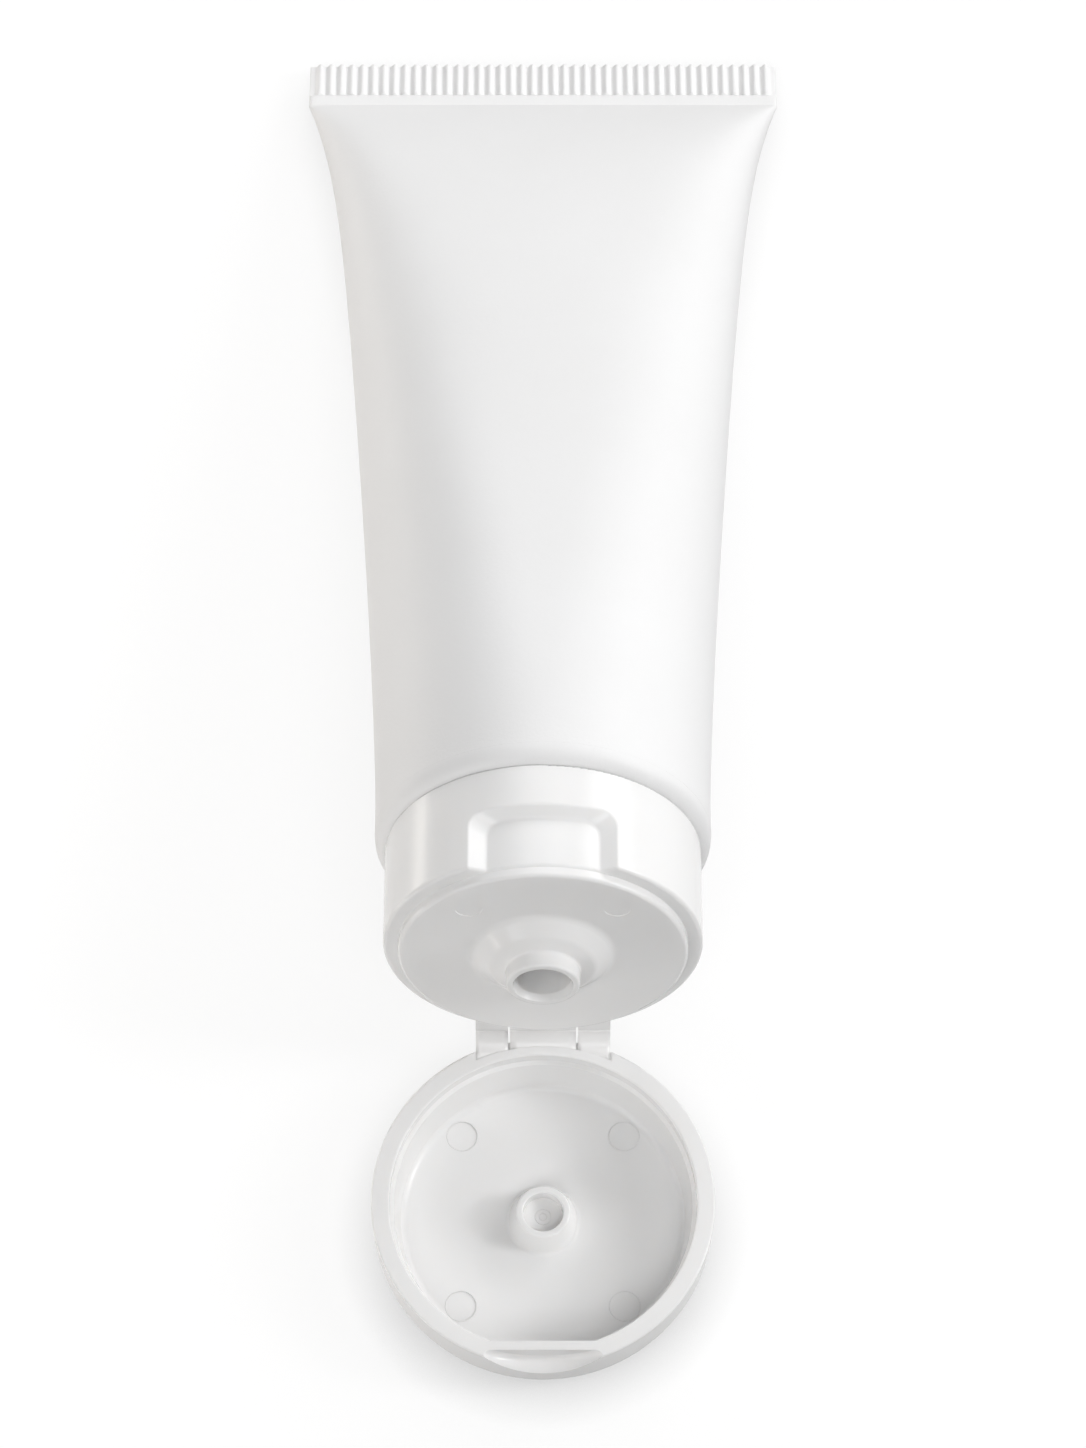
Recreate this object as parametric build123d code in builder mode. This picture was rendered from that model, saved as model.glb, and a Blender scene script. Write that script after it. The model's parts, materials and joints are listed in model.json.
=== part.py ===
import math
import os

from build123d import *

# Sleeve: a plastic pipe of constant girth, round at the cap and flat at the crimp.
tube_radius = 20.0
sleeve_wall = 0.5
sleeve_length = 117.0        # from its open end to the welded seal
collar_length = 4.0          # round stretch welded to the shoulder
seal_thickness = 0.9
seal_band = 1.8              # smooth strip below the ribs
seal_corner = 0.5
rib_length = 5.7
rib_count = 43
rib_share = 0.76             # how much of the spacing a rib fills
rib_core = 0.7
rib_margin = 0.7             # plain edge beside the last rib
section_count = 11
section_crowding = 1.7       # draws the sections together towards the crimp
round_flat = 0.04            # short flat that keeps the round end a stadium
steady_part = 0.735          # share of the flattening that is spread along the sleeve
steady_power = 1.27
late_power = 10.8            # how suddenly the rest happens near the crimp
cavity_end = 0.965

# Cap base. Heights run from the parting plane towards the crimp.
skirt_height = 13.0
skirt_inset = 1.25           # skirt inside the tube's outline
skirt_radius = tube_radius - skirt_inset
skirt_wall = 1.5
skirt_edge = 0.45
ledge_width = 1.75
deck_radius = skirt_radius - ledge_width
deck_height = 1.2
deck_under = 0.5
hump_radius = 8.4
crest_radius = 6.2
crest_share = 0.4            # height of the hump's crest, of the nozzle's
foot_share = 0.52            # height of the nozzle's foot
hump_blend = 1.6
nozzle_radius = 4.35
nozzle_bore = 3.25
nozzle_lip = 0.3
nozzle_mouth = 0.3           # how much wider the bore is at the nozzle's rim
nozzle_lead = 0.9            # length of that tapered mouth
deck_mark_radius = 1.6
deck_mark_x = 17.2
deck_mark_y = 10.0
deck_mark_depth = 0.07
recess_width = 17.2          # thumb recess at the skirt's face
recess_height = 7.5
recess_floor_width = 13.0    # and at its floor
recess_floor_height = 6.5
recess_step = 0.25           # floor of the recess outside the deck's edge
recess_floor = deck_radius + recess_step
recess_corner = 2.6
recess_back = 1.3            # wall left behind the floor
recess_edge = 0.4
recess_blend = 0.6

# Shoulder and neck
skirt_gap = 0.1              # between skirt and shoulder
shoulder_seat = skirt_height + skirt_gap
rim_height = 2.2
rim_rounding = 2.0
sleeve_start = shoulder_seat + rim_height
seal_start = sleeve_start + sleeve_length
cone_inset = 2.4
cone_radius = skirt_radius - cone_inset
cone_height = 3.6
neck_radius = 8.5
neck_base = shoulder_seat - cone_height
neck_gap = 1.9               # between the neck's mouth and the cap
neck_end = deck_under + neck_gap
neck_wall = 1.6
neck_bore = neck_radius - neck_wall
shoulder_wall = 1.4
weld_gap = 0.03
collar_gap = 0.1             # between cap collar and neck
collar_wall = 1.4
collar_clear = 1.2           # between cap collar and cone
collar_depth = neck_base - collar_clear
bead_size = 0.35
bead_height = (neck_end + collar_depth) / 2

# Lid
lid_overhang = 1.75          # beyond the skirt
lid_radius = skirt_radius + lid_overhang
lid_height = 9.2
lid_floor = 1.3
lid_edge = 4.0
lid_draft = 0.2
rim_width = 2.2
rim_inner = lid_radius - rim_width
rim_edge = 0.25
rim_band = 1.8
wall_step = 0.45
wall_taper = 1.3
floor_radius = rim_inner - wall_taper
floor_fillet = 0.9
seat_gap = 0.1               # between lid rim and ledge
hinge_height = lid_height + seat_gap
nozzle_room = 2.5            # between the nozzle and the closed lid's floor
nozzle_height = lid_height - lid_floor - nozzle_room
plug_reach = 0.8             # how far the plug enters the nozzle
plug_end = hinge_height - nozzle_height + plug_reach
plug_gap = 0.1               # between the shut plug and the nozzle's rim
plug_seat = nozzle_bore + nozzle_mouth - plug_gap
plug_taper = 0.3             # radius lost per millimetre, which lets the plug swing in on its arc
plug_tip = plug_seat - plug_taper * plug_reach
plug_root = plug_seat + plug_taper * (nozzle_room + seat_gap)
plug_wall = 0.8
plug_bore = plug_tip - plug_wall
plug_edge = 0.2
plug_hollow = 2.0            # depth of the blind hole in its end
plug_foot = 0.5
lip_gap = 0.35               # between lid lip and deck
lip_chord = deck_radius + lip_gap
lip_thickness = 1.1
scoop_width = 14.0
scoop_depth = 3.0
scoop_fillet = 0.7
pin_mark_radius = 1.85
pin_mark_depth = 0.12
pin_mark_x = 19.6
pin_mark_y = 21.4

# Living hinge: three straps that fold on one straight crease
crease = lid_radius          # distance of the crease from the cap axis
strap_width = 16.2
strap_thickness = 0.3
crease_radius = 0.3
fold_gap = 0.1
slit_width = 0.25
slit_spacing = 8.2
notch_depth = 1.1
notch_floor = lid_radius - notch_depth
notch_gap = 0.2              # each side of the straps

straight_side = math.pi * tube_radius / 2
arc_loss = math.pi / 2 - 1


def flattening(along):
    # a long taper plus a late, quick one close to the crimp
    return steady_part * along ** steady_power + (1 - steady_part) * along ** late_power


def half_depth(along):
    flat = seal_thickness / 2
    return flat + (tube_radius - flat) * (1 - flattening(along))


def half_width(depth):
    # the girth stays the same while the section goes from round to flat
    return straight_side - arc_loss * depth + round_flat / 2


def height_at(along):
    loft_start = sleeve_start + collar_length
    return loft_start + (seal_start - loft_start) * along


# The open lid lies flat with its mouth up and the tube leans on the floor behind it.


def lean(along):
    # slope at which this place on the tube's back comes down to the floor
    back = crease - half_depth(along)
    reach = math.hypot(back, height_at(along))
    return math.asin(hinge_height / reach) + math.atan2(back, height_at(along))


stations = []
for index in range(section_count):
    left = 1 - index / (section_count - 1)
    stations.append(1 - left ** section_crowding)
tilt = min(lean(index / 200) for index in range(201))
rise = math.sin(tilt)
run = math.cos(tilt)

cap_plane = Plane(
    origin=(0, crease * (1 + rise), hinge_height + crease * run),
    x_dir=(1, 0, 0),
    z_dir=(0, run, -rise),
)
cap_axis = Axis(cap_plane.origin, cap_plane.z_dir)
profile_plane = Plane(cap_plane.origin, x_dir=cap_plane.x_dir, z_dir=-cap_plane.y_dir)


def nearest(items, across, up):
    return items.sort_by_distance((across, up, 0))[0]


crimp_width = 2 * half_width(seal_thickness / 2)
rib_pitch = (crimp_width - 2 * rib_margin) / rib_count

# Sleeve with its welded and ribbed end
with BuildPart() as sleeve:
    with BuildSketch(cap_plane.offset(sleeve_start)):
        SlotOverall(2 * tube_radius + round_flat, 2 * tube_radius)
    extrude(amount=collar_length)
    for along in stations:
        depth = half_depth(along)
        with BuildSketch(cap_plane.offset(height_at(along))):
            SlotOverall(2 * half_width(depth), 2 * depth)
    loft()
    with BuildSketch(cap_plane.offset(sleeve_start)):
        SlotOverall(2 * (tube_radius - sleeve_wall) + round_flat, 2 * (tube_radius - sleeve_wall))
    extrude(amount=collar_length, mode=Mode.SUBTRACT)
    for along in stations:
        place = along * cavity_end
        depth = half_depth(place)
        with BuildSketch(cap_plane.offset(height_at(place))):
            SlotOverall(2 * (half_width(depth) - sleeve_wall), 2 * (depth - sleeve_wall))
    loft(mode=Mode.SUBTRACT)
    with BuildSketch(cap_plane.offset(seal_start)):
        SlotOverall(crimp_width, seal_thickness)
    extrude(amount=seal_band)
    with BuildSketch(cap_plane.offset(seal_start + seal_band)):
        Rectangle(crimp_width, rib_core)
        with GridLocations(rib_pitch, 0, rib_count, 1):
            Circle(rib_pitch * rib_share / 2)
    extrude(amount=rib_length)
    upright = sleeve.edges().filter_by(Axis(cap_plane.origin, cap_plane.y_dir))
    fillet(upright.group_by(Axis(cap_plane.origin, cap_plane.z_dir))[-1], seal_corner)

# Shoulder welded inside the sleeve, with a hollow neck
with BuildPart() as shoulder:
    spigot = tube_radius - sleeve_wall - weld_gap
    spigot_end = sleeve_start + collar_length
    inner = spigot - shoulder_wall
    with BuildSketch(profile_plane) as section:
        with BuildLine():
            Polyline(
                (spigot, spigot_end),
                (spigot, sleeve_start),
                (tube_radius, sleeve_start),
                (tube_radius, shoulder_seat),
                (cone_radius, shoulder_seat),
                (neck_radius, neck_base),
                (neck_radius, neck_end),
                (neck_bore, neck_end),
                (neck_bore, neck_base + shoulder_wall),
                (cone_radius - shoulder_wall, shoulder_seat + shoulder_wall),
                (inner, shoulder_seat + 2 * shoulder_wall),
                (inner, spigot_end),
                close=True,
            )
        make_face()
        fillet(nearest(section.vertices(), tube_radius, shoulder_seat), rim_rounding)
        with Locations((neck_radius, bead_height)):
            Circle(bead_size)
    revolve(axis=cap_axis)

# Cutter for the thumb recess: a ring with a sloped top, kept only between two slanting sides
reach = skirt_radius + skirt_wall
with BuildPart() as recess:
    slope = (recess_height - recess_floor_height) / (skirt_radius - recess_floor)
    with BuildSketch(profile_plane):
        with BuildLine():
            Polyline(
                (recess_floor, -recess_height),
                (reach, -recess_height),
                (reach, recess_height + slope * (reach - skirt_radius)),
                (recess_floor, recess_floor_height),
                close=True,
            )
        make_face()
    revolve(axis=cap_axis)
    mouth = math.sqrt(skirt_radius ** 2 - (recess_width / 2) ** 2)
    floor = math.sqrt(recess_floor ** 2 - (recess_floor_width / 2) ** 2)
    flare = (recess_width - recess_floor_width) / 2 / (mouth - floor)
    with BuildSketch(cap_plane.offset(-recess_height)):
        with BuildLine():
            Polyline(
                (-recess_width / 2 - flare * (reach - mouth), -reach),
                (recess_width / 2 + flare * (reach - mouth), -reach),
                (recess_floor_width / 2 - flare * recess_back, recess_back - floor),
                (-recess_floor_width / 2 + flare * recess_back, recess_back - floor),
                close=True,
            )
        make_face()
    extrude(amount=3 * recess_height, mode=Mode.INTERSECT)
    top = recess.faces().filter_by(GeomType.CONE)[0]
    fillet([edge for edge in top.edges() if edge.geom_type != GeomType.CIRCLE], recess_corner)
    floor_face = min(recess.faces().filter_by(GeomType.CYLINDER), key=lambda face: face.radius)
    rounded = []
    for edge in floor_face.edges():
        if cap_plane.to_local_coords(edge @ 0.5).Z > -recess_height / 2:
            rounded.append(edge)
    fillet(rounded, recess_blend)

# Cap base: skirt, deck, nozzle, neck collar and the base half of the hinge
with BuildPart() as base:
    skirt_inner = skirt_radius - skirt_wall
    collar_inner = neck_radius + collar_gap
    collar_outer = collar_inner + collar_wall
    crest = -deck_height - crest_share * (nozzle_height - deck_height)
    nozzle_foot = -deck_height - foot_share * (nozzle_height - deck_height)
    with BuildSketch(profile_plane) as section:
        with BuildLine():
            Polyline(
                (nozzle_bore, deck_under),
                (collar_inner, deck_under),
                (collar_inner, collar_depth),
                (collar_outer, collar_depth),
                (collar_outer, deck_under),
                (skirt_inner, deck_under),
                (skirt_inner, skirt_height),
                (skirt_radius, skirt_height),
                (skirt_radius, 0),
                (deck_radius, 0),
                (deck_radius, -deck_height),
                (hump_radius, -deck_height),
                (crest_radius, crest),
                (nozzle_radius, nozzle_foot),
                (nozzle_radius, -nozzle_height),
                (nozzle_bore + nozzle_mouth, -nozzle_height),
                (nozzle_bore, nozzle_lead - nozzle_height),
                close=True,
            )
        make_face()
        fillet(nearest(section.vertices(), hump_radius, -deck_height), hump_blend)
        fillet(nearest(section.vertices(), crest_radius, crest), hump_blend)
        fillet(nearest(section.vertices(), nozzle_radius, nozzle_foot), nozzle_lip)
        fillet(nearest(section.vertices(), skirt_radius, skirt_height), rim_edge)
        fillet(nearest(section.vertices(), skirt_radius, 0), skirt_edge)
        fillet(nearest(section.vertices(), deck_radius, -deck_height), skirt_edge)
        fillet(nearest(section.vertices(), nozzle_radius, -nozzle_height), nozzle_lip)
        with Locations((collar_inner, bead_height)):
            Circle(bead_size, mode=Mode.SUBTRACT)
    revolve(axis=cap_axis)
    with BuildSketch(cap_plane.offset(deck_under)):
        Circle(skirt_inner)
        Circle(recess_floor - recess_back, mode=Mode.SUBTRACT)
        with Locations((0, -skirt_radius / 2)):
            Rectangle(recess_width + 2 * recess_back, skirt_radius, mode=Mode.INTERSECT)
    extrude(amount=recess_height + recess_back)
    add(recess.part, mode=Mode.SUBTRACT)
    skirt_face = base.faces().filter_by(GeomType.CYLINDER).sort_by(SortBy.AREA)[-1]
    outline = []
    for edge in skirt_face.edges():
        middle = cap_plane.to_local_coords(edge @ 0.5)
        if skirt_edge < middle.Z < recess_height + skirt_edge and middle.Y < -skirt_radius / 2:
            outline.append(edge)
    fillet(outline, recess_edge)
    with BuildSketch(cap_plane.offset(-deck_height)):
        with Locations((0, -deck_mark_y)):
            with GridLocations(deck_mark_x, 0, 2, 1):
                Circle(deck_mark_radius)
    extrude(amount=deck_mark_depth, mode=Mode.SUBTRACT)
    with BuildSketch(cap_plane):
        with Locations((0, crease / 2)):
            Rectangle(strap_width, crease)
        Circle(skirt_radius - skirt_edge, mode=Mode.SUBTRACT)
        with Locations((0, crease)):
            with GridLocations(slit_spacing, 0, 2, 1):
                Rectangle(slit_width, crease, mode=Mode.SUBTRACT)
    extrude(amount=strap_thickness)
    strap_side = (strap_width - slit_spacing - slit_width) / 4 + (slit_spacing + slit_width) / 2
    with BuildSketch(Plane.YZ):
        with Locations((crease, hinge_height)):
            Circle(crease_radius)
    extrude(amount=(slit_spacing - slit_width) / 2, both=True)
    for side in (-1, 1):
        with BuildSketch(Plane.YZ.offset(side * strap_side)):
            with Locations((crease, hinge_height)):
                Circle(crease_radius)
        extrude(amount=(strap_width - slit_spacing - slit_width) / 4, both=True)

# Cutter for the scoop in front of the lid's lip
with BuildPart() as scoop:
    scoop_radius = (scoop_width ** 2 / 4 + scoop_depth ** 2) / (2 * scoop_depth)
    with BuildSketch(Plane.XZ.offset(lip_chord + lip_thickness)):
        with Locations((0, lid_height - scoop_depth + scoop_radius)):
            Circle(scoop_radius)
    extrude(amount=lid_radius - lip_chord)
    fillet(scoop.edges().sort_by(Axis.Y)[-1], scoop_fillet)

# Lid: shell with plug, front lip, finger scoop and the lid half of the hinge
with BuildPart() as lid:
    with BuildSketch(Plane.XZ) as section:
        with BuildLine():
            Polyline(
                (0, 0),
                (lid_radius - lid_draft, 0),
                (lid_radius, lid_height),
                (rim_inner, lid_height),
                (rim_inner, lid_height - rim_band),
                (rim_inner - wall_step, lid_height - rim_band - wall_step),
                (floor_radius, lid_floor),
                (plug_root, lid_floor),
                (plug_tip, plug_end),
                (plug_bore, plug_end),
                (plug_bore, plug_end - plug_hollow),
                (0, plug_end - plug_hollow),
                close=True,
            )
        make_face()
        fillet(nearest(section.vertices(), lid_radius - lid_draft, 0), lid_edge)
        fillet(nearest(section.vertices(), lid_radius, lid_height), rim_edge)
        fillet(nearest(section.vertices(), rim_inner, lid_height), rim_edge)
        fillet(nearest(section.vertices(), floor_radius, lid_floor), floor_fillet)
        fillet(nearest(section.vertices(), plug_tip, plug_end), plug_edge)
        fillet(nearest(section.vertices(), plug_bore, plug_end), plug_edge)
        fillet(nearest(section.vertices(), plug_root, lid_floor), plug_foot)
    revolve(axis=Axis.Z)
    with BuildSketch(Plane.XY.offset(lid_floor)):
        Circle(rim_inner + wall_step)
        with Locations((0, crease - lip_chord)):
            Rectangle(2 * lid_radius, 2 * crease, mode=Mode.SUBTRACT)
    extrude(amount=lid_height - lid_floor)
    add(scoop.part, mode=Mode.SUBTRACT)
    with BuildSketch(Plane.XY.offset(lid_floor)):
        with GridLocations(pin_mark_x, pin_mark_y, 2, 2):
            Circle(pin_mark_radius)
    extrude(amount=-pin_mark_depth, mode=Mode.SUBTRACT)
    leaf_top = hinge_height - crease_radius - fold_gap
    with BuildSketch(Plane.XY.offset(leaf_top)):
        with Locations((0, crease)):
            Rectangle(strap_width + 2 * notch_gap, crease)
        Circle(notch_floor, mode=Mode.SUBTRACT)
    extrude(amount=lid_height - leaf_top, mode=Mode.SUBTRACT)
    with BuildSketch(Plane.XY.offset(leaf_top)):
        with Locations((0, crease / 2)):
            Rectangle(strap_width, crease)
        Circle(notch_floor, mode=Mode.SUBTRACT)
    extrude(amount=-strap_thickness)
    with BuildSketch(Plane.XY.offset(leaf_top)):
        with Locations((0, crease)):
            with GridLocations(slit_spacing, 0, 2, 1):
                Rectangle(slit_width, crease)
        Circle(notch_floor, mode=Mode.SUBTRACT)
    extrude(amount=-strap_thickness, mode=Mode.SUBTRACT)

os.makedirs("parts", exist_ok=True)
sleeve.part.label = "tube_sleeve"
export_step(sleeve.part, "parts/tube_sleeve.step")
shoulder.part.label = "tube_shoulder"
export_step(shoulder.part, "parts/tube_shoulder.step")
base.part.label = "cap_base"
export_step(base.part, "parts/cap_base.step")
lid.part.label = "lid"
export_step(lid.part, "parts/lid.step")
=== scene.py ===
import bmesh
import bpy
import json
import math
import numpy as np
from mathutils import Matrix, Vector


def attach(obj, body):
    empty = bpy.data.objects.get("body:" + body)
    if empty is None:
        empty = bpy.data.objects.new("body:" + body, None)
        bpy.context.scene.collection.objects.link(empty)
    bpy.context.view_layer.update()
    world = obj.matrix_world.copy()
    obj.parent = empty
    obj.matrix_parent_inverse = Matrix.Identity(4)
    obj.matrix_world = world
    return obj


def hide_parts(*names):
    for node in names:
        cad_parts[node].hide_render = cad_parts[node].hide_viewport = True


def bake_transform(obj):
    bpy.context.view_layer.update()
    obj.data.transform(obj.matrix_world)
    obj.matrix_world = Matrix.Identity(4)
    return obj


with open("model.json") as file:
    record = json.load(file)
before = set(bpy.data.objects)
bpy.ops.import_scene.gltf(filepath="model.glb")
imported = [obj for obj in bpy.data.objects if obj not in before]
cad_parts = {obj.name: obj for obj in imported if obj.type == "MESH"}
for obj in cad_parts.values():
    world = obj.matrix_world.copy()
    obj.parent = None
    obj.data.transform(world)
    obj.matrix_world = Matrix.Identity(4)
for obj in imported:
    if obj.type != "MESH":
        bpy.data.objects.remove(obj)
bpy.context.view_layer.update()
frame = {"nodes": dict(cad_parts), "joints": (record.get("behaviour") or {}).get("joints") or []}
nodes = frame["nodes"]
scene = bpy.context.scene
print("frame loaded:", sorted(nodes))

mm = 0.001

# where the tube lies: its cap axis runs from the parting plane's centre towards the crimp
hinge = next(joint for joint in frame["joints"] if joint["name"] == "lid_hinge")
tilt = math.radians(-hinge["range_deg"][0] - 90)
crease = hinge["pos_m"][1] / mm
hingeHeight = hinge["pos_m"][2] / mm
axisDir = np.array([0, math.cos(tilt), -math.sin(tilt)])
backDir = np.array([0, -math.sin(tilt), -math.cos(tilt)])
capCentre = np.array([0, crease * (1 + math.sin(tilt)), hingeHeight + crease * math.cos(tilt)])


def place(across, back, along):
    # a point of the upright tube (mm) put where the tube lies (m)
    across, back, along = np.broadcast_arrays(across, back, along)
    side = np.array([1.0, 0, 0])
    points = capCentre + across[..., None] * side + back[..., None] * backDir + along[..., None] * axisDir
    return points * mm


# materials

def newMaterial(name):
    material = bpy.data.materials.new(name)
    material.use_nodes = True
    tree = material.node_tree
    return material, tree, tree.nodes["Principled BSDF"]


def addNode(tree, kind, **values):
    node = tree.nodes.new(kind)
    for key, value in values.items():
        if key in node.inputs:
            node.inputs[key].default_value = value
        else:
            setattr(node, key, value)
    return node


def noiseOf(tree, coord, scale, detail, rough=0.5):
    noise = addNode(tree, "ShaderNodeTexNoise", Scale=scale, Detail=detail, Roughness=rough)
    tree.links.new(coord, noise.inputs["Vector"])
    return noise.outputs["Fac"]


def ramp(tree, fac, stops):
    node = addNode(tree, "ShaderNodeValToRGB")
    elements = node.color_ramp.elements
    for element, (position, colour) in zip(elements, stops):
        element.position = position
        element.color = (*colour, 1)
    tree.links.new(fac, node.inputs["Fac"])
    return node.outputs["Color"]


def spread(tree, fac, low, high):
    node = addNode(tree, "ShaderNodeMapRange")
    node.inputs["To Min"].default_value = low
    node.inputs["To Max"].default_value = high
    tree.links.new(fac, node.inputs["Value"])
    return node.outputs["Result"]


def bump(tree, shader, fields):
    # each field is (height, strength, distance in metres), one bump on top of the other
    previous = None
    for height, strength, distance in fields:
        node = addNode(tree, "ShaderNodeBump", Strength=strength, Distance=distance)
        tree.links.new(height, node.inputs["Height"])
        if previous is not None:
            tree.links.new(previous, node.inputs["Normal"])
        previous = node.outputs["Normal"]
    tree.links.new(previous, shader.inputs["Normal"])


def whitePlastic(name, look):
    # base colour in faint clouds, with a bump of clouds and grain
    material, tree, shader = newMaterial(name)
    coord = addNode(tree, "ShaderNodeTexCoord").outputs["Object"]
    clouds = noiseOf(tree, coord, *look["clouds"])
    grain = noiseOf(tree, coord, *look["grain"])
    low, high = look["blotch"]
    tone = ramp(tree, clouds, [(low, look["dark"]), (high, look["pale"])])
    tree.links.new(tone, shader.inputs["Base Color"])
    patches = grain if look["roughByGrain"] else clouds
    tree.links.new(spread(tree, patches, *look["rough"]), shader.inputs["Roughness"])
    bump(tree, shader, [(clouds, *look["cloudBump"]), (grain, *look["grainBump"])])
    shader.inputs["Specular IOR Level"].default_value = look["gloss"]
    return material, shader


# noise as (scale, detail, roughness), bumps as (strength, distance in metres)
capLook = dict(pale=(0.925, 0.921, 0.917), dark=(0.91, 0.905, 0.9), blotch=(0.3, 0.7),
               rough=(0.18, 0.25), roughByGrain=False, gloss=0.38,
               clouds=(60.0, 3.0), grain=(1500.0, 2.0, 0.6),
               cloudBump=(0.05, 0.0004), grainBump=(0.05, 0.00004),
               glow=0.3, glowDepth=0.0015, glowColour=(1.0, 0.95, 0.9))
sleeveLook = dict(pale=(0.905, 0.904, 0.906), dark=(0.882, 0.88, 0.88), blotch=(0.35, 0.65),
                  rough=(0.38, 0.48), roughByGrain=True, gloss=0.25,
                  clouds=(26.0, 4.0), grain=(2600.0, 2.0, 0.6),
                  cloudBump=(0.12, 0.0006), grainBump=(0.3, 0.00008))


def glossCap():
    # light enters the cap's walls and comes out again a little warmer
    material, shader = whitePlastic("smooth_white_cap", capLook)
    shader.inputs["Subsurface Weight"].default_value = capLook["glow"]
    shader.inputs["Subsurface Radius"].default_value = capLook["glowColour"]
    shader.inputs["Subsurface Scale"].default_value = capLook["glowDepth"]
    return material


def dress(name, material):
    mesh = nodes[name].data
    mesh.materials.clear()
    mesh.materials.append(material)


capPlastic = glossCap()
hingePlastic = whitePlastic("smooth_white_hinge", capLook)[0]    # too thin for light to wander in
sleevePlastic = whitePlastic("satin_white_sleeve", sleeveLook)[0]
dress("tube_sleeve", sleevePlastic)
dress("tube_shoulder", sleevePlastic)
dress("cap_base", capPlastic)
dress("lid", capPlastic)
print("materials set")


# shapes worked out as whole arrays

def ramp01(value, low, high):
    # smooth step from 0 at low to 1 at high
    t = np.clip((value - low) / (high - low), 0, 1)
    return t * t * (3 - 2 * t)


def gridFaces(rows, columns, wrap):
    # quads between neighbouring rows and columns, the last column joined to the first where wrapped
    across = columns if wrap else columns - 1
    row, column = np.meshgrid(np.arange(rows - 1), np.arange(across), indexing="ij")
    ahead = (column + 1) % columns
    here, above = row * columns, (row + 1) * columns
    quads = np.stack([here + column, here + ahead, above + ahead, above + column], -1)
    return quads.reshape(-1, 4)


def smoothShade(mesh):
    mesh.polygons.foreach_set("use_smooth", np.ones(len(mesh.polygons), dtype=bool))


def makePiece(name, parts, material, body):
    # parts are (points, wrapped) grids; doubled points are joined and faces turned outward
    points, faces, offset = [], [], 0
    for grid, wrap in parts:
        points.append(grid.reshape(-1, 3))
        faces.append(gridFaces(grid.shape[0], grid.shape[1], wrap) + offset)
        offset += points[-1].shape[0]
    mesh = bpy.data.meshes.new(name)
    mesh.from_pydata(np.concatenate(points).tolist(), [], np.concatenate(faces).tolist())
    work = bmesh.new()
    work.from_mesh(mesh)
    bmesh.ops.remove_doubles(work, verts=work.verts, dist=1e-7)
    bmesh.ops.recalc_face_normals(work, faces=work.faces)
    work.to_mesh(mesh)
    work.free()
    smoothShade(mesh)
    mesh.materials.append(material)
    piece = bpy.data.objects.new(name, mesh)
    scene.collection.objects.link(piece)
    if body:
        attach(piece, body)
    return piece


# sleeve: constant girth, round at the cap and flat at the crimp, with a ribbed weld (mm)
sleeveShape = dict(radius=20.0, wall=0.5, start=15.3, collar=4.0, seal=132.3, band=1.8, top=139.8,
                   thick=0.9, ease=0.02, steady=0.735, steadyPower=1.27, latePower=10.8,
                   cavityEnd=0.965, soften=0.45)
# rows up the inside, over the open end's rim, along the outside, the weld's smooth strip and its close
sleeveSteps = dict(quarter=60, fine=8, inside=34, outside=110, crowding=1.6, cavityTop=0.985,
                   rim=(2.0, 0.05, 0, 0, 0.03, 0.12, 2.0), rimInset=(0, 0, 0.03),
                   strip=(0.15, 0.6, 1.2, 1.65), close=(0, 0.04, 0.04), closeInset=(0.02, 0.12, 9))
ribShape = dict(count=43, margin=0.7, core=0.06, depth=0.5, crest=0.75, scallop=0.25, corner=0.5, edge=0.3,
                steps=16, edgeSteps=(0, 0.06, 0.25, 0.5), sunk=0.15, topRound=0.3, fade=(0.02, 0.4),
                waver=0.07, waverPace=(1.7, 0.61),
                rows=(0, 0.02, 0.035, 0.05, 0.07, 0.095, 0.13, 0.3, 0.5, 0.7,
                      0.85, 0.92, 0.955, 0.98, 0.993, 1.0))


def halfDepth(along):
    # half thickness falls by a long taper and a late quick one
    flat = sleeveShape["thick"] / 2
    share = sleeveShape["steady"]
    slow = share * along ** sleeveShape["steadyPower"]
    late = (1 - share) * along ** sleeveShape["latePower"]
    return flat + (sleeveShape["radius"] - flat) * (1 - (slow + late))


def sectionLoop(flat, depth):
    # the tangent turns softly from the flat into the rounded side; its cosine and sine add up to the outline
    count, fine = sleeveSteps["quarter"], sleeveSteps["fine"]
    flat, depth = flat[:, None], depth[:, None]
    step = np.linspace(0, 1, count * fine + 1)[None, :]
    walk = (1 - (1 - step) ** sleeveSteps["crowding"]) * (flat + depth * math.pi / 2)
    past = walk - flat
    soft = sleeveShape["soften"] * np.minimum(flat, depth) + 1e-6
    turn = (past + np.sqrt(past ** 2 + soft ** 2)) / 2
    turn = (turn - turn[:, :1]) / np.maximum(turn[:, -1:] - turn[:, :1], 1e-9) * math.pi / 2
    gap = np.diff(walk, axis=1)
    across = np.cumsum(gap * (np.cos(turn[:, 1:]) + np.cos(turn[:, :-1])) / 2, axis=1)
    drop = np.cumsum(gap * (np.sin(turn[:, 1:]) + np.sin(turn[:, :-1])) / 2, axis=1)
    zero = np.zeros_like(flat)
    across = np.hstack([zero, across * (flat + depth) / across[:, -1:]])[:, ::fine]
    drop = np.hstack([zero, drop / np.maximum(drop[:, -1:], 1e-9)])[:, ::fine]
    up = depth * (1 - drop)
    x = np.hstack([across, across[:, -2::-1], -across[:, 1:], -across[:, -2:0:-1]])
    y = np.hstack([up, -up[:, -2::-1], -up[:, 1:], up[:, -2:0:-1]])
    return x, y


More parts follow.
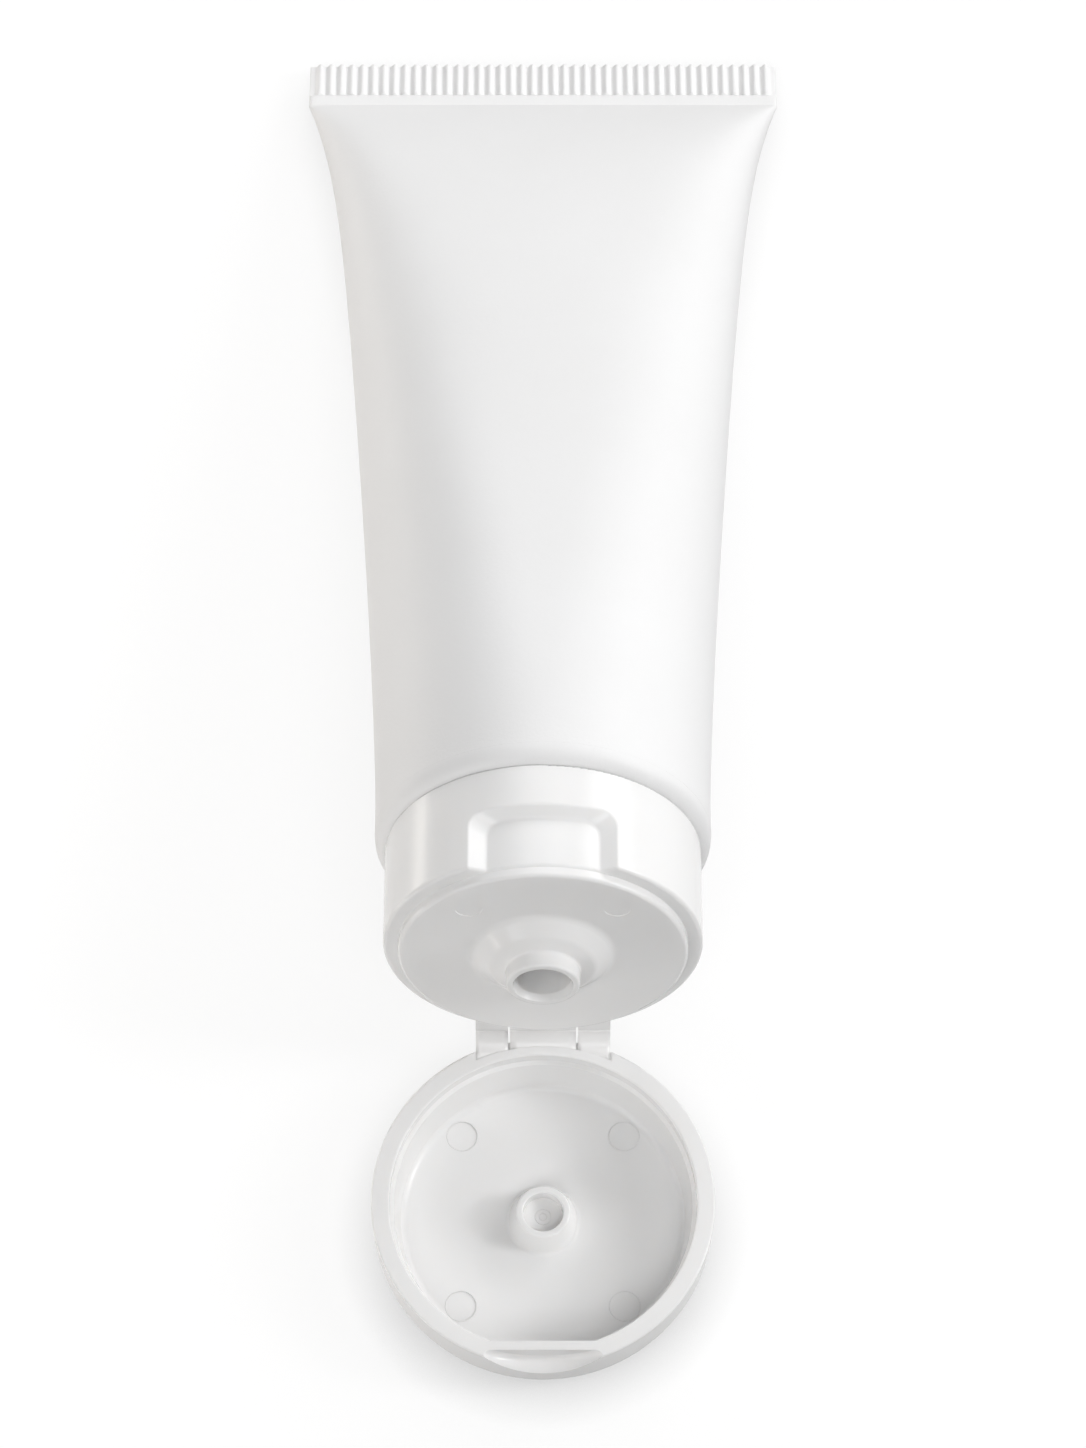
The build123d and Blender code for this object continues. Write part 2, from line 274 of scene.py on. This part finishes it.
def sleeveGrid():
    # girth = straight part + half circle at each height; the inner rows are a wall's thickness further in
    form, steps = sleeveShape, sleeveSteps
    loftStart = form["start"] + form["collar"]
    length = form["seal"] - loftStart
    outer = 1 - (1 - np.linspace(0, 1, steps["outside"])) ** steps["crowding"]
    inner = np.linspace(form["cavityEnd"], 0, steps["inside"])
    heights = np.concatenate([
        [loftStart + length * steps["cavityTop"]],
        loftStart + length * inner,
        form["start"] + np.array(steps["rim"]),
        loftStart + length * outer,
        form["seal"] + np.array(steps["strip"]),
        form["seal"] + form["band"] + np.array(steps["close"])])
    plain = len(steps["rim"]) - len(steps["rimInset"]) + outer.size + len(steps["strip"])
    inset = np.concatenate([
        np.full(1 + inner.size, form["wall"]),
        form["wall"] - np.array(steps["rimInset"]),
        np.zeros(plain),
        steps["closeInset"]])
    along = np.clip((heights - loftStart) / length, 0, 1)
    depth = halfDepth(along)
    flat = math.pi * form["radius"] / 2 - math.pi / 2 * depth + form["ease"]
    depth = np.maximum(depth - inset, 0)
    depth[0] = 0
    x, y = sectionLoop(flat, depth)
    return place(x, y, heights[:, None])


def crimpGrids():
    # two sheets that meet at every edge; half thickness = core + rounded rib, faded in along the weld
    rib, form = ribShape, sleeveShape
    half = math.pi * form["radius"] / 2 - (math.pi / 2 - 1) * form["thick"] / 2 + form["ease"]
    pitch = (2 * half - 2 * rib["margin"]) / rib["count"]
    ribbed = pitch * rib["count"] / 2
    ends = np.array(rib["edgeSteps"])
    middle = np.linspace(-1, 1, rib["count"] * rib["steps"] + 1) * pitch * rib["count"] / 2
    x = np.concatenate([ends - half, middle, half - ends[::-1]])[None, :]
    crest = (0.5 + 0.5 * np.cos(2 * math.pi * x / pitch)) ** rib["crest"]
    crest = crest * (np.abs(x) <= ribbed)
    strip = form["seal"] + form["band"]
    low = strip - rib["sunk"]
    high = form["top"] - rib["scallop"] * (1 - crest)
    h = low + (high - low) * np.array(rib["rows"])[:, None]
    quick, slow = rib["waverPace"]
    foot = strip + rib["waver"] * np.sin(quick * x) * np.sin(slow * x + 1)
    rise = ramp01(h, foot - rib["fade"][0], foot + rib["fade"][1])
    topRound = np.sqrt(1 - np.clip((h - (high - rib["topRound"])) / rib["topRound"], 0, 1) ** 2)
    sideRound = np.sqrt(1 - np.clip((np.abs(x) - (half - rib["edge"])) / rib["edge"], 0, 1) ** 2)
    thick = (rib["core"] + rib["depth"] * crest * rise) * topRound * sideRound
    thick[0] = 0
    bend = np.clip(h - (form["top"] - rib["corner"]), 0, rib["corner"])
    reach = half - (rib["corner"] - np.sqrt(rib["corner"] ** 2 - bend ** 2))
    x = np.clip(np.broadcast_to(x, h.shape), -reach, reach)
    return [(place(x, thick, h), False), (place(x, -thick, h), False)]


sleeveParts = [(sleeveGrid(), True)] + crimpGrids()
sleevePiece = makePiece("sleeve_skin", sleeveParts, sleevePlastic, "tube")
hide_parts("tube_sleeve")
print("sleeve made")

# web of the living hinge: part of a tube round the crease, one strip for each strap (mm and degrees)
webShape = dict(radius=0.37, start=196.0, end=286.0, width=16.2, slit=0.25, spacing=8.2, thick=0.05, arcs=14)


def strapSpans():
    # left and right edge of each of the three straps
    half, gap = webShape["width"] / 2, webShape["slit"] / 2
    inner, outer = webShape["spacing"] / 2 - gap, webShape["spacing"] / 2 + gap
    return (-half, -outer), (-inner, inner), (outer, half)


def hingeWeb():
    # radius and angle round the crease, out along the strip's outer side and back along its inner one
    form = webShape
    angle = np.radians(np.linspace(form["start"], form["end"], form["arcs"]))
    ring = np.concatenate([angle, angle[::-1]])
    radius = np.repeat([form["radius"], form["radius"] - form["thick"]], form["arcs"])
    middle = form["radius"] - form["thick"] / 2
    size = np.array([0, 1, 1, 0])[:, None]    # closed at both ends
    reach = middle + (radius - middle) * size
    y = crease + reach * np.cos(ring)
    z = hingeHeight + reach * np.sin(ring)
    grids = []
    for low, high in strapSpans():
        x = np.array([low, low, high, high])[:, None] + 0 * ring
        grids.append((np.stack([x, y, z], -1) * mm, True))
    return grids


makePiece("hinge_web", hingeWeb(), hingePlastic, "lid")
print("hinge made")

# film of the living hinge: a hollow fillet from the base's straps to the lid's leaf, bent at the crease (mm)
filmShape = dict(radius=2.0, drop=0.4, proud=0.02, thick=0.05, reach=0.5, notch=19.4, overlap=0.03,
                 arcs=12, columns=9)


def axisUp():
    # up the base's strap face, as (y, z)
    return np.array([math.sin(tilt), math.cos(tilt)])


def axisOut():
    # straight out of that face
    return np.array([-math.cos(tilt), math.sin(tilt)])


def filmClimb():
    # how far up the base's face the arc touches it
    return (filmShape["radius"] * (1 - math.sin(tilt)) - filmShape["drop"]) / math.cos(tilt)


def hingeFilm():
    # circle arc touching both faces, run straight up the base and along the leaf as far as the rim's notch
    form = filmShape
    up = axisUp()
    middle = filmClimb() * up + form["radius"] * axisOut()
    grids = []
    for low, high in strapSpans():
        x = np.concatenate([[low], np.linspace(low, high, form["columns"]), [high]])[:, None]
        wall = np.sqrt(form["notch"] ** 2 - x ** 2) - crease - form["overlap"]
        last = -np.arccos(np.clip((wall - middle[0]) / form["radius"], 0, 1))
        angle = -tilt + (last + tilt) * np.linspace(0, 1, form["arcs"])[None, :]
        sides = []
        for radius in (form["radius"] - form["proud"], form["radius"] + form["thick"] - form["proud"]):
            arcY, arcZ = middle[0] + radius * np.cos(angle), middle[1] + radius * np.sin(angle)
            topY, topZ = arcY[:, :1] + form["reach"] * up[0], arcZ[:, :1] + form["reach"] * up[1]
            endY, endZ = np.minimum(arcY[:, -1:], wall), arcZ[:, -1:]
            sides.append((np.hstack([topY, arcY, endY]), np.hstack([topZ, arcZ, endZ])))
        size = np.ones_like(x)
        size[[0, -1]] = 0
        ring = []
        for front, back in zip(*sides):
            core = (front + back) / 2
            ring.append(np.hstack([core + (front - core) * size, (core + (back - core) * size)[:, ::-1]]))
        x = np.broadcast_to(x, ring[0].shape)
        grids.append((np.stack([x, crease + ring[0], hingeHeight + ring[1]], -1) * mm, True))
    return grids


def bendFilm():
    film = makePiece("hinge_film", hingeFilm(), hingePlastic, None)
    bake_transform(film)


bendFilm()
print("hinge film made")

# thin rings round the moulding marks on the lid's floor, and the gate mark in the plug (mm)
markShape = dict(floor=1.3, across=19.6, back=21.4, radius=1.85, bead=0.06,
                 gateFloor=2.7, gates=(0.45, 0.95), gateBead=0.04, turns=64, around=8)


def ringGrid(x, y, z, radius, bead):
    # circle carried round a circle
    turn = np.linspace(0, 2 * math.pi, markShape["turns"] + 1)[:, None]
    around = np.linspace(0, 2 * math.pi, markShape["around"] + 1)[None, :-1]
    reach = radius + bead * np.cos(around)
    rise = z + bead * np.sin(around) + 0 * turn
    return np.stack([x + reach * np.cos(turn), y + reach * np.sin(turn), rise], -1) * mm


def mouldMarks():
    form = markShape
    grids = []
    for side in (-1, 1):
        for end in (-1, 1):
            spot = side * form["across"] / 2, end * form["back"] / 2
            grids.append((ringGrid(*spot, form["floor"], form["radius"], form["bead"]), True))
    for radius in form["gates"]:
        grids.append((ringGrid(0, 0, form["gateFloor"], radius, form["gateBead"]), True))
    return grids


makePiece("lid_mould_marks", mouldMarks(), capPlastic, "lid")
print("mould marks made")

# floor: takes the soft shadow, carries a painted contact shadow near the object, and reads as white to the
# camera and in reflections (m)
floorShape = dict(flat=1.5, bend=0.8, rise=1.2, turns=96, rows=16)
floorLook = dict(seen=(0.2, 0.2, 0.2), bounce=(0.3, 0.3, 0.3), rough=0.9, gloss=0.1, lift=0.815)
# painted contact shadow in the floor's glow: its reach and depth, full in front of the lid and faint behind
contact = dict(reach=0.006, rays=4, deep=0.5, faint=0.1, front=-0.012, behind=0.02)


def floorMesh():
    # flat disc whose edge bends up in a quarter of an ellipse, as a studio sweep
    form = floorShape
    turn = np.linspace(0, 2 * math.pi, form["turns"] + 1)[None, :-1]
    bend = np.linspace(0, math.pi / 2, form["rows"])[:, None]
    reach = form["flat"] + form["bend"] * np.sin(bend)
    rise = form["rise"] * (1 - np.cos(bend)) + 0 * turn
    points = np.stack([reach * np.cos(turn), reach * np.sin(turn), rise], -1)
    faces = [tuple(range(form["turns"]))]
    faces += gridFaces(form["rows"], form["turns"], True)[:, ::-1].tolist()
    mesh = bpy.data.meshes.new("floor")
    mesh.from_pydata(points.reshape(-1, 3).tolist(), [], faces)
    smoothShade(mesh)
    return mesh


def join(tree, operation, first, second):
    node = addNode(tree, "ShaderNodeMath", operation=operation)
    tree.links.new(first, node.inputs[0])
    tree.links.new(second, node.inputs[1])
    return node.outputs[0]


def paintedContactShadow(tree):
    # painted contact shadow: open floor is 1; where the object is near, the value falls by the depth for
    # that place
    near = addNode(tree, "ShaderNodeAmbientOcclusion", samples=contact["rays"], Distance=contact["reach"])
    spot = addNode(tree, "ShaderNodeSeparateXYZ")
    tree.links.new(addNode(tree, "ShaderNodeTexCoord").outputs["Object"], spot.inputs[0])
    lowest = spread(tree, spot.outputs["Y"], 1 - contact["deep"], 1 - contact["faint"])
    lowest.node.inputs["From Min"].default_value = contact["front"]
    lowest.node.inputs["From Max"].default_value = contact["behind"]
    shade = spread(tree, near.outputs["AO"], 0, 1)
    tree.links.new(lowest, shade.node.inputs["To Min"])
    return shade


def whiteFloor():
    mesh = floorMesh()
    floor = bpy.data.objects.new("floor", mesh)
    scene.collection.objects.link(floor)
    material, tree, shader = newMaterial("white_floor")
    shader.inputs["Roughness"].default_value = floorLook["rough"]
    shader.inputs["Specular IOR Level"].default_value = floorLook["gloss"]
    path = addNode(tree, "ShaderNodeLightPath").outputs
    seen = join(tree, "MAXIMUM", path["Is Camera Ray"], path["Is Glossy Ray"])
    seen = join(tree, "MAXIMUM", seen, path["Is Transmission Ray"])
    tone = addNode(tree, "ShaderNodeMix", data_type="RGBA")
    tone.inputs["A"].default_value = (*floorLook["bounce"], 1)
    tone.inputs["B"].default_value = (*floorLook["seen"], 1)
    tree.links.new(seen, tone.inputs["Factor"])
    tree.links.new(tone.outputs["Result"], shader.inputs["Base Color"])
    lift = addNode(tree, "ShaderNodeMath", operation="MULTIPLY")
    lift.inputs[1].default_value = floorLook["lift"]
    # the floor's glow is multiplied by the painted contact shadow
    tree.links.new(join(tree, "MULTIPLY", seen, paintedContactShadow(tree)), lift.inputs[0])
    glow = addNode(tree, "ShaderNodeEmission")
    tree.links.new(lift.outputs[0], glow.inputs["Strength"])
    both = addNode(tree, "ShaderNodeAddShader")
    tree.links.new(shader.outputs[0], both.inputs[0])
    tree.links.new(glow.outputs[0], both.inputs[1])
    tree.links.new(both.outputs[0], tree.nodes["Material Output"].inputs["Surface"])
    mesh.materials.append(material)


whiteFloor()
print("floor made")

# soft studio light: place, aim and size (m) and power (W) of each lamp; the card at the left is warm
lamps = dict(
    overhead=dict(at=(0, 0.1, 0.9), to=(0, 0.07, 0), size=(0.8, 0.8), power=0.47),
    topRight=dict(at=(0.46, 0.07, 0.76), to=(0, 0.07, 0.02), size=(0.3, 0.8), power=0.71),
    sideRight=dict(at=(0.8, 0.07, 0.42), to=(0, 0.07, 0.02), size=(0.4, 0.8), power=1.09),
    keyHigh=dict(at=(0.69, 0.02, 0.6), to=(0, 0.03, 0.02), size=(0.2, 0.2), power=0.74),
    keyLow=dict(at=(0.74, 0, 0.42), to=(0, 0.03, 0.02), size=(0.15, 0.15), power=1.56),
    cardLeft=dict(at=(-0.105, 0.06, 0.012), to=(0, 0.06, 0.02), size=(0.3, 0.02), power=0.067,
                  tint=(1, 0.95, 0.89)),
    frontTop=dict(at=(0, -0.5, 0.8), to=(0, 0.03, 0.02), size=(0.6, 0.4), power=2.69),
    frontLeft=dict(at=(-0.6, -0.6, 0.4), to=(0, 0.03, 0.02), size=(0.5, 0.4), power=1.84),
    back=dict(at=(0, 0.95, 0.5), to=(0, 0.07, 0.02), size=(0.8, 0.5), power=2.82),
    backHigh=dict(at=(0, 0.65, 0.8), to=(0, 0.03, 0.02), size=(0.5, 0.3), power=0.92),
    crimpTop=dict(at=(0, 0.32, 0.22), to=(0, 0.14, 0.01), size=(0.25, 0.1), power=0.052),
    backRight=dict(at=(0.65, 0.65, 0.5), to=(0, 0.05, 0.02), size=(0.4, 0.4), power=1.8),
)


def lightUp():
    for name, lamp in lamps.items():
        light = bpy.data.lights.new(name, "AREA")
        light.shape = "RECTANGLE"
        light.size, light.size_y = lamp["size"]
        light.energy = lamp["power"]
        light.color = lamp.get("tint", (1, 1, 1))
        item = bpy.data.objects.new(name, light)
        item.location = lamp["at"]
        aim = Vector(lamp["to"]) - Vector(lamp["at"])
        item.rotation_euler = aim.to_track_quat("-Z", "Y").to_euler()
        scene.collection.objects.link(item)
    # the lamps give all the light
    world = bpy.data.worlds.new("studio")
    world.use_nodes = True
    world.node_tree.nodes["Background"].inputs["Strength"].default_value = 0.0
    scene.world = world


lightUp()
scene.view_settings.view_transform = "Standard"
print("light set")

# camera: found by fitting the photo's outline of the tube (degrees, mm and photo pixels)
view = dict(lean=35.09, distance=569.7, along=31.85, focal=4707.0, height=1448.0, sensor=36.0, near=0.01)


def setCamera():
    lean = math.radians(view["lean"]) - tilt
    target = place(0.0, 0.0, view["along"])
    away = Vector((0, -math.sin(lean), math.cos(lean)))
    camera = bpy.data.cameras.new("camera")
    camera.sensor_fit = "AUTO"
    camera.sensor_width = view["sensor"]
    camera.lens = view["sensor"] * view["focal"] / view["height"]
    camera.clip_start = view["near"]
    item = bpy.data.objects.new("camera", camera)
    item.location = Vector(target) + away * view["distance"] * mm
    item.rotation_euler = (-away).to_track_quat("-Z", "Y").to_euler()
    scene.collection.objects.link(item)
    scene.camera = item


setCamera()
print("camera set")
